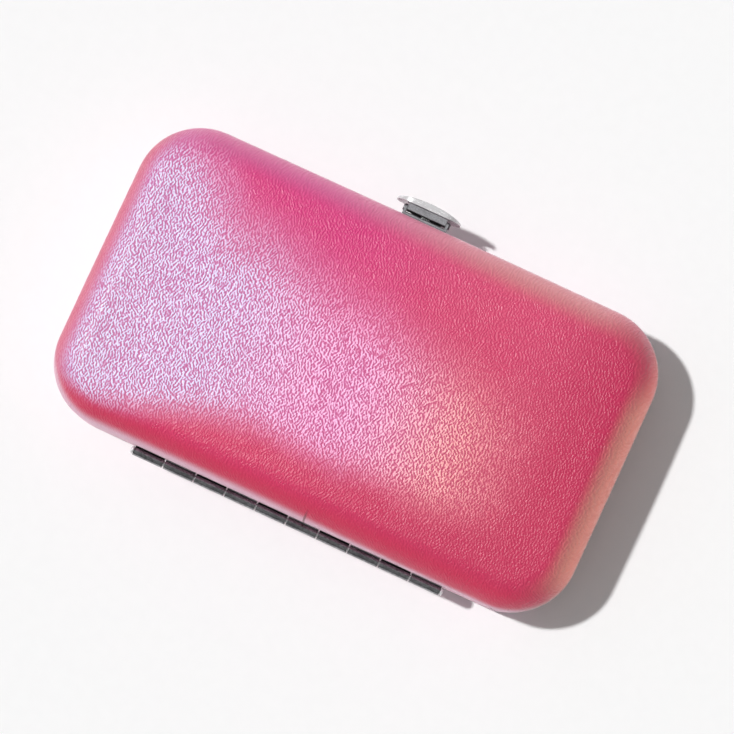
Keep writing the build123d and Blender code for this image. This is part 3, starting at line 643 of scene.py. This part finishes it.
def mesh_object(
    name: str, points: np.ndarray, quads: np.ndarray, extra: list | None = None
) -> bpy.types.Object:
    """Put computed points and faces into a new smooth-shaded object at the origin.

    Args:
        name: the piece's name.
        points: (n, 3) array in millimetres.
        quads: (m, 4) array of corner numbers.
        extra: further faces, as lists of corner numbers.

    Returns:
        The linked object.
    """
    mesh = bpy.data.meshes.new(name)
    faces = quads.tolist() + (extra or [])
    mesh.from_pydata((points * MM).tolist(), [], faces)
    mesh.polygons.foreach_set("use_smooth", np.ones(len(mesh.polygons), bool))
    work = bmesh.new()
    work.from_mesh(mesh)
    bmesh.ops.recalc_face_normals(work, faces=work.faces)
    work.to_mesh(mesh)
    work.free()
    mesh.update()
    thing = bpy.data.objects.new(name, mesh)
    bpy.context.scene.collection.objects.link(thing)
    return thing


def grid_faces(rows: int, columns: int, close_columns: bool) -> np.ndarray:
    """Quads of a grid of points stored row by row.

    Args:
        rows: number of rows.
        columns: points in each row.
        close_columns: join the last column to the first.

    Returns:
        (m, 4) array of corner numbers.
    """
    across = columns if close_columns else columns - 1
    r, c = np.meshgrid(np.arange(rows - 1), np.arange(across), indexing="ij")
    n = (c + 1) % columns
    quads = np.stack([r * columns + c, r * columns + n, (r + 1) * columns + n, (r + 1) * columns + c], -1)
    return quads.reshape(-1, 4)


def swell(x: np.ndarray, y: np.ndarray, seed: int, waves: int, short: float, long: float) -> np.ndarray:
    """Gentle unevenness: a sum of sine waves in random directions, lengths between short and long.

    Args:
        x: places along the case.
        y: places across the case.
        seed: fixes the random choice.
        waves: number of waves.
        short: shortest wavelength in mm.
        long: longest wavelength in mm.

    Returns:
        Heights of about -1 to 1, shaped like x.
    """
    rng = np.random.default_rng(seed)
    angle = rng.uniform(0, np.pi, waves)
    number = 2 * np.pi / rng.uniform(short, long, waves)
    phase = rng.uniform(0, 2 * np.pi, waves)
    total = np.zeros_like(x)
    for a, k, p in zip(angle, number, phase):
        total += np.sin(k * (x * np.cos(a) + y * np.sin(a)) + p)
    return total / math.sqrt(waves)


class Side(Enum):
    """Which half of the case a surface belongs to."""

    LID = 1
    BASE = -1


@dataclass
class CaseForm:
    """The shared shape of both halves: a rounded rectangle in plan with a rolled edge."""

    length: float = 110.0
    width: float = 62.7
    corner: float = 13.0
    height: float = 25.0
    seam: float = 12.5
    lid_roll: float = 6.5
    base_roll: float = 6.0
    crown_long: float = 1000.0
    crown_cross: float = 400.0

    def outline(self, count: int) -> tuple[np.ndarray, np.ndarray]:
        """The plan outline as anchors on the inner rectangle and outward directions.

        A point at inset d is anchor + (corner - d) * direction. Points are spread evenly by arc length.

        Args:
            count: number of points round the outline.

        Returns:
            Anchors and directions, each (count, 2).
        """
        half_x = self.length / 2 - self.corner
        half_y = self.width / 2 - self.corner
        arc = np.pi / 2 * self.corner
        pieces = np.array([2 * half_x, arc, 2 * half_y, arc] * 2)
        ends = np.concatenate([[0], np.cumsum(pieces)])
        s = (np.arange(count) + 0.5) / count * ends[-1]
        k = np.clip(np.searchsorted(ends, s, side="right") - 1, 0, 7)
        f = (s - ends[k]) / pieces[k]
        reach = [half_x, half_y]
        corners = np.array([[1, -1], [1, -1], [1, 1], [1, 1], [-1, 1], [-1, 1], [-1, -1], [-1, -1]]) * reach
        starts = np.array([[-1, -1], [1, -1], [1, -1], [1, 1], [1, 1], [-1, 1], [-1, 1], [-1, -1]]) * reach
        straight = (k % 2 == 0)[:, None]
        anchor = np.where(straight, starts[k] + (corners[k] - starts[k]) * f[:, None], starts[k])
        turn = -np.pi / 2 + (k // 2) * np.pi / 2 + np.where(k % 2 == 1, f, 0.0) * np.pi / 2
        return anchor, np.stack([np.cos(turn), np.sin(turn)], -1)

    def crown(self, x: np.ndarray, y: np.ndarray, side: Side) -> np.ndarray:
        """Height of the lid's barrelled top, or of the flat underside."""
        if side is Side.BASE:
            return np.zeros_like(x)
        return self.height - x**2 / (2 * self.crown_long) - y**2 / (2 * self.crown_cross)


RIM_ROUND = 0.45  # largest radius of a shell's rim, in mm
LIP_ROUND = 0.08  # how far a turned-in lip's corners are eased, in mm
LIP_SHOULDER = 0.15  # share of the lip's thickness that its corners take


@dataclass
class Station:
    """One ring of a shell: inset from the wall, shrink towards the middle, and height rule."""

    inset: float
    shrink: float
    follow: float  # share of the crown's height that the ring follows
    offset: float


@dataclass
class ShellSkin:
    """A closed shell that follows the case form between two insets, with a rounded rim at the seam."""

    name: str
    side: Side
    outer: float
    inner: float
    rim: float  # height of the rim from the seam
    lip: float  # how far the rim turns in
    form: CaseForm = field(default_factory=CaseForm)
    round_points: int = 560
    bulge: float = 0.0
    seed: int = 3

    def stations(self) -> list[Station]:
        """Rings from the middle of the inside, over the rim and up to the middle of the outside."""
        s = self.side.value
        roll = self.form.lid_roll if self.side is Side.LID else self.form.base_roll
        edge = self.form.seam + s * self.rim
        thick = self.inner - self.outer
        rings: list[Station] = []

        def half_section(inset: float, low: float, tops: int) -> list[Station]:
            """Rings up the wall from a height, round the roll and in across the top."""
            r = roll - inset
            part = []
            for t in np.linspace(0, 1, 10 if inset > self.outer else 14)[:-1]:
                part.append(Station(inset, 1.0, t, (1 - t) * low - s * t * (inset + r)))
            steps = 8 if inset > self.outer else 20
            for a in np.linspace(0, np.pi / 2, steps):
                drop = inset + r * (1 - math.sin(a))
                part.append(Station(inset + r * (1 - math.cos(a)), 1.0, 1.0, -s * drop))
            for t in np.linspace(1, 0, tops)[1:-1]:
                part.append(Station(roll, t, 1.0, -s * inset))
            return part

        inside = half_section(self.inner, edge + s * thick, 10)
        rings += inside[::-1]
        rings.append(Station(self.inner, 1.0, 0.0, edge + s * thick))
        if self.lip > self.inner:
            rings.append(Station(self.lip - LIP_ROUND, 1.0, 0.0, edge + s * thick))
            rings.append(Station(self.lip, 1.0, 0.0, edge + s * thick * (1 - LIP_SHOULDER)))
            rings.append(Station(self.lip, 1.0, 0.0, edge + s * thick * LIP_SHOULDER))
            rings.append(Station(self.lip - LIP_ROUND, 1.0, 0.0, edge))
        r = min(RIM_ROUND, thick * 0.6)
        for a in np.linspace(0, np.pi / 2, 6):
            rise = edge + s * r * (1 - math.cos(a))
            rings.append(Station(self.outer + r * (1 - math.sin(a)), 1.0, 0.0, rise))
        rings += half_section(self.outer, edge + s * r, 34)[1:]
        return rings

    def points(self) -> tuple[np.ndarray, int, int]:
        """All ring points.

        Returns:
            (rings * round, 3) array in mm, the number of rings and the points in each.
        """
        anchor, direction = self.form.outline(self.round_points)
        rings = self.stations()
        inset = np.array([r.inset for r in rings])[:, None, None]
        shrink = np.array([r.shrink for r in rings])[:, None, None]
        follow = np.array([r.follow for r in rings])[:, None]
        offset = np.array([r.offset for r in rings])[:, None]
        plan = (anchor[None] + (self.form.corner - inset) * direction[None]) * shrink
        x, y = plan[..., 0], plan[..., 1]
        z = follow * self.form.crown(x, y, self.side) + offset
        if self.bulge:
            keep = self.outside_share(rings)[:, None]
            wave = swell(x, y, self.seed, 14, 9.0, 34.0) * self.bulge * keep
            z = z + self.side.value * wave * (shrink[..., 0] < 1.0)
        return np.stack([x, y, z], -1).reshape(-1, 3), len(rings), self.round_points

    def outside_share(self, rings: list[Station]) -> np.ndarray:
        """1 for rings on the outside face well in from the roll, easing to 0 at the roll."""
        share = np.array([min(1.0, (1.0 - r.shrink) * 6.0) for r in rings])
        half = len(rings) // 3
        share[:half] = 0.0
        return share

    def build(self) -> bpy.types.Object:
        """Make the shell, closed at both middles.

        Returns:
            The new object.
        """
        points, rows, columns = self.points()
        faces = grid_faces(rows, columns, True)
        crown = self.form.crown(np.zeros(1), np.zeros(1), self.side)[0]
        s = self.side.value
        points = np.vstack([points, [[0, 0, crown - s * self.inner], [0, 0, crown - s * self.outer]]])
        n = rows * columns
        ring = np.arange(columns)
        nxt = (ring + 1) % columns
        last = (rows - 1) * columns
        fan = [[int(a), int(b), n] for a, b in zip(nxt, ring)]
        fan += [[int(last + a), int(last + b), n + 1] for a, b in zip(ring, nxt)]
        return mesh_object(self.name, points, faces, fan)


@dataclass
class SeatPad:
    """Flocked foam pad: a flat seat below, softly rounded sides and a top that fills the lid's crown."""

    name: str = "seat_pad"
    length: float = 83.6
    width: float = 43.6
    corner: float = 9.8
    seat: float = 20.2
    top_gap: float = 2.75  # from the lid's outer face to the pad's top
    edge_round: float = 0.45
    give: float = 0.05  # unevenness of the seat beside its edge
    rings: tuple[int, int, int] = (24, 15, 12)  # across the seat, round the edge, across the top
    round_points: int = 320

    def build(self) -> bpy.types.Object:
        """Make the pad as rings: out across the seat, round the edge, and in across the top.

        Returns:
            The new object.
        """
        plan = CaseForm(length=self.length, width=self.width, corner=self.corner)
        anchor, direction = plan.outline(self.round_points)
        edge = anchor + self.corner * direction
        crown = CaseForm().crown(edge[:, 0], edge[:, 1], Side.LID) - self.top_gap
        low, bend, high = self.rings
        r = self.edge_round
        turn = np.linspace(-np.pi / 2, np.pi / 2, bend)
        shrink = [np.linspace(0.02, 0.96, low), np.ones(bend), np.linspace(0.96, 0.02, high)]
        shrink = np.concatenate(shrink)
        inset = np.concatenate([np.full(low, r), r * (1 - np.cos(turn)), np.full(high, r)])
        rise = np.concatenate([np.zeros(low), 0.5 + 0.5 * np.sin(turn), np.ones(high)])
        ring = anchor[None] + (self.corner - inset)[:, None, None] * direction[None]
        ring = ring * shrink[:, None, None]
        x, y = ring[..., 0], ring[..., 1]
        inner_top = CaseForm().crown(x, y, Side.LID) - self.top_gap
        top = np.where(shrink[:, None] < 1.0, inner_top, crown[None])
        z = self.seat + (top - self.seat) * rise[:, None]
        near_edge = (rise[:, None] < 0.5) * (shrink[:, None] > 0.9)
        z = z - self.give * (1 + swell(x, y, 21, 10, 6.0, 18.0)) * near_edge
        rings, count = x.shape
        faces = grid_faces(rings, count, True)
        last = (rings - 1) * count
        ends = [list(range(count))[::-1], [last + i for i in range(count)]]
        return mesh_object(self.name, np.stack([x, y, z], -1).reshape(-1, 3), faces, ends)


@dataclass
class Pocket:
    """A recess in the tray: a rounded rectangle or a circle."""

    x: float
    y: float
    half_x: float
    half_y: float
    radius: float
    floor: float

    def distance(self, x: np.ndarray, y: np.ndarray) -> np.ndarray:
        """Signed distance to the recess's outline, negative inside it."""
        qx = np.abs(x - self.x) - (self.half_x - self.radius)
        qy = np.abs(y - self.y) - (self.half_y - self.radius)
        outside = np.hypot(np.maximum(qx, 0), np.maximum(qy, 0))
        return outside + np.minimum(np.maximum(qx, qy), 0) - self.radius


@dataclass
class KitTray:
    """Flocked tray: a level top with soft-edged pockets pressed into it."""

    name: str = "kit_tray"
    length: float = 104.2
    width: float = 56.9
    corner: float = 10.0
    top: float = 11.78
    flange: float = 1.0
    floor: float = 1.9
    wall: float = 0.9  # width over which a pocket's side falls
    edge_round: float = 0.4
    edge_drop: float = 0.3
    unevenness: float = 0.03
    columns: int = 300
    rows: int = 168

    def pockets(self) -> list[Pocket]:
        """Every recess in the tray."""
        wells = [Pocket(x, -13.4, 13.0, 13.0, 13.0, 2.85) for x in (-34.5, -2.5)]
        return wells + [
            Pocket(-18.5, -13.4, 16.0, 7.5, 2.0, 2.85),
            Pocket(33.0, -8.5, 11.0, 16.0, 3.0, 2.85),
            Pocket(33.0, -8.5, 16.4, 7.4, 5.0, 5.05),
            Pocket(33.0, 16.0, 7.5, 9.5, 2.0, 3.65),
            Pocket(-17.0, 8.4, 31.8, 5.6, 3.0, 6.2),
            Pocket(-22.0, 21.0, 25.8, 4.8, 4.0, 4.4),
            Pocket(-0.6, 21.0, 4.5, 4.8, 2.0, 3.1),
            Pocket(-18.5, 14.5, 6.5, 7.5, 5.0, 6.2),
        ]

    def surface(self, x: np.ndarray, y: np.ndarray) -> np.ndarray:
        """Top height: each pocket's side falls along a smooth step of its signed distance.

        Args:
            x: places along the tray.
            y: places across the tray.

        Returns:
            Heights in mm.
        """
        z = np.full_like(x, self.top)
        for pocket in self.pockets():
            t = np.clip(0.5 - (pocket.distance(x, y) - 0.05) / self.wall, 0, 1)
            t = t * t * (3 - 2 * t)
            z = np.minimum(z, self.top + (pocket.floor - self.top) * t)
        return z + self.unevenness * swell(x, y, 8, 12, 5.0, 20.0)

    def build(self) -> bpy.types.Object:
        """Make the tray as loops round its cross-section, one for each step along X.

        Returns:
            The new object.
        """
        half_l, half_w = self.length / 2, self.width / 2
        x = np.linspace(-half_l, half_l, self.columns)
        past = np.maximum(np.abs(x) - (half_l - self.corner), 0)
        reach = half_w - self.corner + np.sqrt(np.maximum(self.corner**2 - past**2, 0))
        v = np.linspace(-1, 1, self.rows)
        top_x = np.repeat(x[:, None], self.rows, 1)
        top_y = reach[:, None] * v[None]
        top_z = self.surface(top_x, top_y)
        edge = np.clip((1 - np.abs(v)) * half_w / self.edge_round, 0, 1)
        top_z = top_z - self.edge_drop * (1 - np.sqrt(1 - (1 - edge[None]) ** 2))
        under_v = np.array([1.0, 0.975, 0.97, 0.9, 0.3, -0.3, -0.9, -0.97, -0.975, -1.0])
        level = self.top - self.flange
        under_z = np.array([level, level, self.floor + 3.0, self.floor, self.floor])
        under_z = np.concatenate([under_z, under_z[::-1]])
        under_x = np.repeat(x[:, None], len(under_v), 1)
        under_y = reach[:, None] * under_v[None]
        under = np.stack([under_x, under_y, np.tile(under_z, (self.columns, 1))], -1)
        loops = np.concatenate([np.stack([top_x, top_y, top_z], -1), under], 1)
        size = loops.shape[1]
        faces = grid_faces(self.columns, size, True)
        last = (self.columns - 1) * size
        caps = [list(range(size)), [last + i for i in reversed(range(size))]]
        return mesh_object(self.name, loops.reshape(-1, 3), faces, caps)


# ---------------------------------------------------------------- sub-assemblies


class Workshop:
    """Holds the shared effects and finishes, and dresses or places each piece."""

    def __init__(self) -> None:
        """Make every finish once."""
        fx = Effects()
        self.leather = PearlLeather().build("pearl_leather", fx)
        metals = {
            "bright_rim": PlatedMetal(shade("e6e6e8"), shade("c4c4c8"), 0.14, 0.10, metallic=0.75),
            "dark_plating": PlatedMetal(shade("adadb0"), shade("77777a"), 0.07, 0.10, pits=0.55),
            "bare_steel": PlatedMetal(shade("a4a4a7"), shade("848487"), 0.30, 0.18, pits=0.3),
            "cast_block": PlatedMetal(shade("8e8e91"), shade("727275"), 0.36, 0.14, pits=0.3),
            "satin_plate": PlatedMetal(shade("e9e9ea"), shade("cfcfd2"), 0.20, 0.10, metallic=0.5),
        }
        self.metal = {name: metal.build(name, fx) for name, metal in metals.items()}
        self.flock = Flock(shade("3a1626"), shade("8a4564")).build("tray_flock", fx)
        self.velour = Flock(shade("45202f"), shade("96536f"), 0.35).build("lid_velour", fx)
        plastics = {
            "shell_plastic": MouldedPlastic(shade("2a2529"), shade("4a4148"), 0.5),
            "pink_plastic": MouldedPlastic(shade("e58aa8"), shade("d9708f"), 0.22, 0.15),
            "white_plastic": MouldedPlastic(shade("f1f1ee"), shade("dfe3e4"), 0.25, 0.25),
            "milky_plastic": MouldedPlastic(shade("eceff0"), shade("d6dfe3"), 0.35, 0.5, 0.15),
            "clear_silicone": MouldedPlastic(shade("e9e4e0"), shade("d2ccc8"), 0.45, 0.6, 0.05),
            "foam_tape": MouldedPlastic(shade("dcdcd2"), shade("c2c2b8"), 0.9, 0.0, 0.6),
        }
        self.plastic = {name: plastic.build(name, fx) for name, plastic in plastics.items()}
        self.mirror = SilveredGlass().build("mirror_glass", fx)

    def dress(self, node: str, material: bpy.types.Material) -> None:
        """Give a built node its finish."""
        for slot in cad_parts[node].material_slots:
            slot.material = material
        log.info("%s keeps its shape and is finished in %s", node, material.name)

    def place(self, piece: bpy.types.Object, body: str, node: str, material: bpy.types.Material) -> None:
        """Put a new piece on a body in place of a node."""
        piece.data.materials.append(material)
        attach(piece, body)
        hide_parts(node)
        log.info("%s stands for %s with %d faces", piece.name, node, len(piece.data.polygons))


@dataclass
class Covers:
    """The leather skins of lid and base."""

    shop: Workshop
    rim: float = 0.65
    thick: float = 0.7
    lip: float = 1.75

    def build(self) -> None:
        """Make both skins."""
        lid = ShellSkin("lid_leather", Side.LID, 0.0, self.thick, self.rim, self.lip, bulge=0.05)
        self.shop.place(lid.build(), "lid", "lid_cover", self.shop.leather)
        base = ShellSkin("base_leather", Side.BASE, 0.0, self.thick, self.rim, self.lip)
        self.shop.place(base.build(), "base", "base_cover", self.shop.leather)


@dataclass
class Lining:
    """Velour inside the lid, the mirror's pad, tape and glass."""

    shop: Workshop

    def build(self) -> None:
        """Make the liner and the pad, and dress the tape and the mirror."""
        liner = ShellSkin("lid_velour", Side.LID, 1.8, 2.6, 4.6, 3.6, round_points=400)
        self.shop.place(liner.build(), "lid", "lid_liner", self.shop.velour)
        pad = SeatPad().build()
        self.shop.place(pad, "lid", "mirror_pad", self.shop.velour)
        self.shop.dress("mirror_tape", self.shop.plastic["foam_tape"])
        self.shop.dress("mirror", self.shop.mirror)


@dataclass
class Hardware:
    """Hinge, rims, clasp and rivets."""

    shop: Workshop

    def build(self) -> None:
        """Dress all the metal."""
        metal = self.shop.metal
        for node in ("base_frame", "lid_frame"):
            self.shop.dress(node, metal["bright_rim"])
        for node in ("base_hinge_leaf", "lid_hinge_leaf"):
            self.shop.dress(node, metal["dark_plating"])
        for node in ("clasp_bracket", "lever_arm"):
            self.shop.dress(node, metal["cast_block"])
        rivets = ("base_hinge_rivets", "lid_hinge_rivets", "catch_rivets", "clasp_rivets")
        for node in (*rivets, "clasp_pin", "catch_spring"):
            self.shop.dress(node, metal["bare_steel"])
        for node in ("hinge_pin", "lever_spring", "thumb_plate"):
            self.shop.dress(node, metal["satin_plate"])
        for node in ("base_shell", "lid_shell"):
            self.shop.dress(node, self.shop.plastic["shell_plastic"])


@dataclass
class Kit:
    """The tray and everything that lies in it."""

    shop: Workshop

    def build(self) -> None:
        self.shop.place(KitTray().build(), "base", "tray", self.shop.flock)
        finishes = {
            "lens_container": "white_plastic",
            "left_cap": "pink_plastic",
            "right_cap": "white_plastic",
            "left_seal": "clear_silicone",
            "right_seal": "clear_silicone",
            "bottle": "milky_plastic",
            "bottle_nozzle": "white_plastic",
            "bottle_liner": "foam_tape",
            "bottle_cap": "pink_plastic",
            "tweezers": "pink_plastic",
            "tweezers_tips": "clear_silicone",
            "applicator": "pink_plastic",
            "applicator_cup": "clear_silicone",
        }
        for node, finish in finishes.items():
            self.shop.dress(node, self.shop.plastic[finish])


@dataclass
class Studio:
    """Pale floor, soft overhead light, one firmer light from the left, and the camera."""

    distance: float = 700.0
    tilt: float = 4.7
    turn: float = 24.75
    aim: tuple[float, float] = (-2.13, -1.7)
    lens: float = 172.2
    sun_power: float = 2.60
    sun_spread: float = 2.6
    sun_heading: tuple[float, float, float] = (0.512, 0.025, -1.0)
    sky_power: float = 1.0
    sky_level: tuple[float, float] = (0.19, 0.33)  # at the horizon and overhead
    sky_seen: float = 0.9  # what the camera sees in place of the ceiling's own level
    floor_half: float = 2500.0
    floor_z: float = -0.02

    def case_vector(self, x: float, y: float, z: float) -> Vector:
        """Turn a direction given along the view's right, up and height into the case's own axes."""
        c, s = math.cos(math.radians(self.turn)), math.sin(math.radians(self.turn))
        return Vector((x * c - y * s, x * s + y * c, z))

    def camera(self) -> None:
        """Place the camera above the case, tipped a little from the vertical."""
        tip = math.radians(self.tilt)
        right = self.case_vector(1, 0, 0)
        up = self.case_vector(0, math.cos(tip), math.sin(tip))
        back = self.case_vector(0, -math.sin(tip), math.cos(tip))
        spot = self.case_vector(-self.aim[0], -self.aim[1], 0) + back * self.distance
        data = bpy.data.cameras.new("camera")
        data.lens = self.lens
        data.sensor_width = 36.0
        data.clip_start = 0.01
        data.clip_end = 20.0
        eye = bpy.data.objects.new("camera", data)
        turn = Matrix((right, up, back)).transposed().to_4x4()
        eye.matrix_world = Matrix.Translation(spot * MM) @ turn
        bpy.context.scene.collection.objects.link(eye)
        bpy.context.scene.camera = eye

    def floor(self) -> None:
        """Lay a wide sheet of matt white card."""
        steps = np.linspace(-self.floor_half, self.floor_half, 9)
        x, y = np.meshgrid(steps, steps, indexing="ij")
        points = np.stack([x, y, np.full_like(x, self.floor_z)], -1).reshape(-1, 3)
        sheet = mesh_object("floor", points, grid_faces(len(steps), len(steps), False))
        material, g, skin = new_material("white_card")
        place = g.place_mm()
        tone = g.span(g.noise(place, 0.4, 3.0), 0.3, 0.7, 0.0, 1.0)
        g.plug(skin.inputs["Base Color"], g.mix(tone, (0.905, 0.905, 0.905), (0.915, 0.915, 0.915)))
        skin.inputs["Roughness"].default_value = 0.9
        skin.inputs["Specular IOR Level"].default_value = 0.2
        sheet.data.materials.append(material)

    def lights(self) -> None:
        """Firm light from the left and a soft bright ceiling that dims towards the horizon."""
        data = bpy.data.lights.new("window", "SUN")
        data.energy = self.sun_power
        data.angle = math.radians(self.sun_spread)
        lamp = bpy.data.objects.new("window", data)
        lamp.rotation_euler = Vector(self.sun_heading).to_track_quat("-Z", "Y").to_euler()
        bpy.context.scene.collection.objects.link(lamp)
        world = bpy.data.worlds.new("studio")
        world.use_nodes = True
        bpy.context.scene.world = world
        g = Graph(world.node_tree)
        glow = world.node_tree.nodes["Background"]
        height = g.split(g.add("ShaderNodeTexCoord").outputs["Generated"])[2]
        level = g.ease(height, 0.0, 0.85, *self.sky_level)
        seen = g.add("ShaderNodeLightPath").outputs["Is Camera Ray"]
        level = g.math("ADD", level, g.math("MULTIPLY", seen, g.math("SUBTRACT", self.sky_seen, level)))
        g.plug(glow.inputs["Color"], g.join(level, level, level))
        glow.inputs["Strength"].default_value = self.sky_power

    def build(self) -> None:
        """Set up the whole studio."""
        self.camera()
        self.floor()
        self.lights()
        view = bpy.context.scene.view_settings
        view.view_transform = "Standard"
        view.look = "None"


def main() -> None:
    """Build every sub-assembly in order."""
    logging.basicConfig(level=logging.INFO, format="%(name)s: %(message)s")
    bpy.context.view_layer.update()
    Studio().build()
    shop = Workshop()
    Covers(shop).build()
    Lining(shop).build()
    Hardware(shop).build()
    Kit(shop).build()


if __name__ == "__main__":
    main()
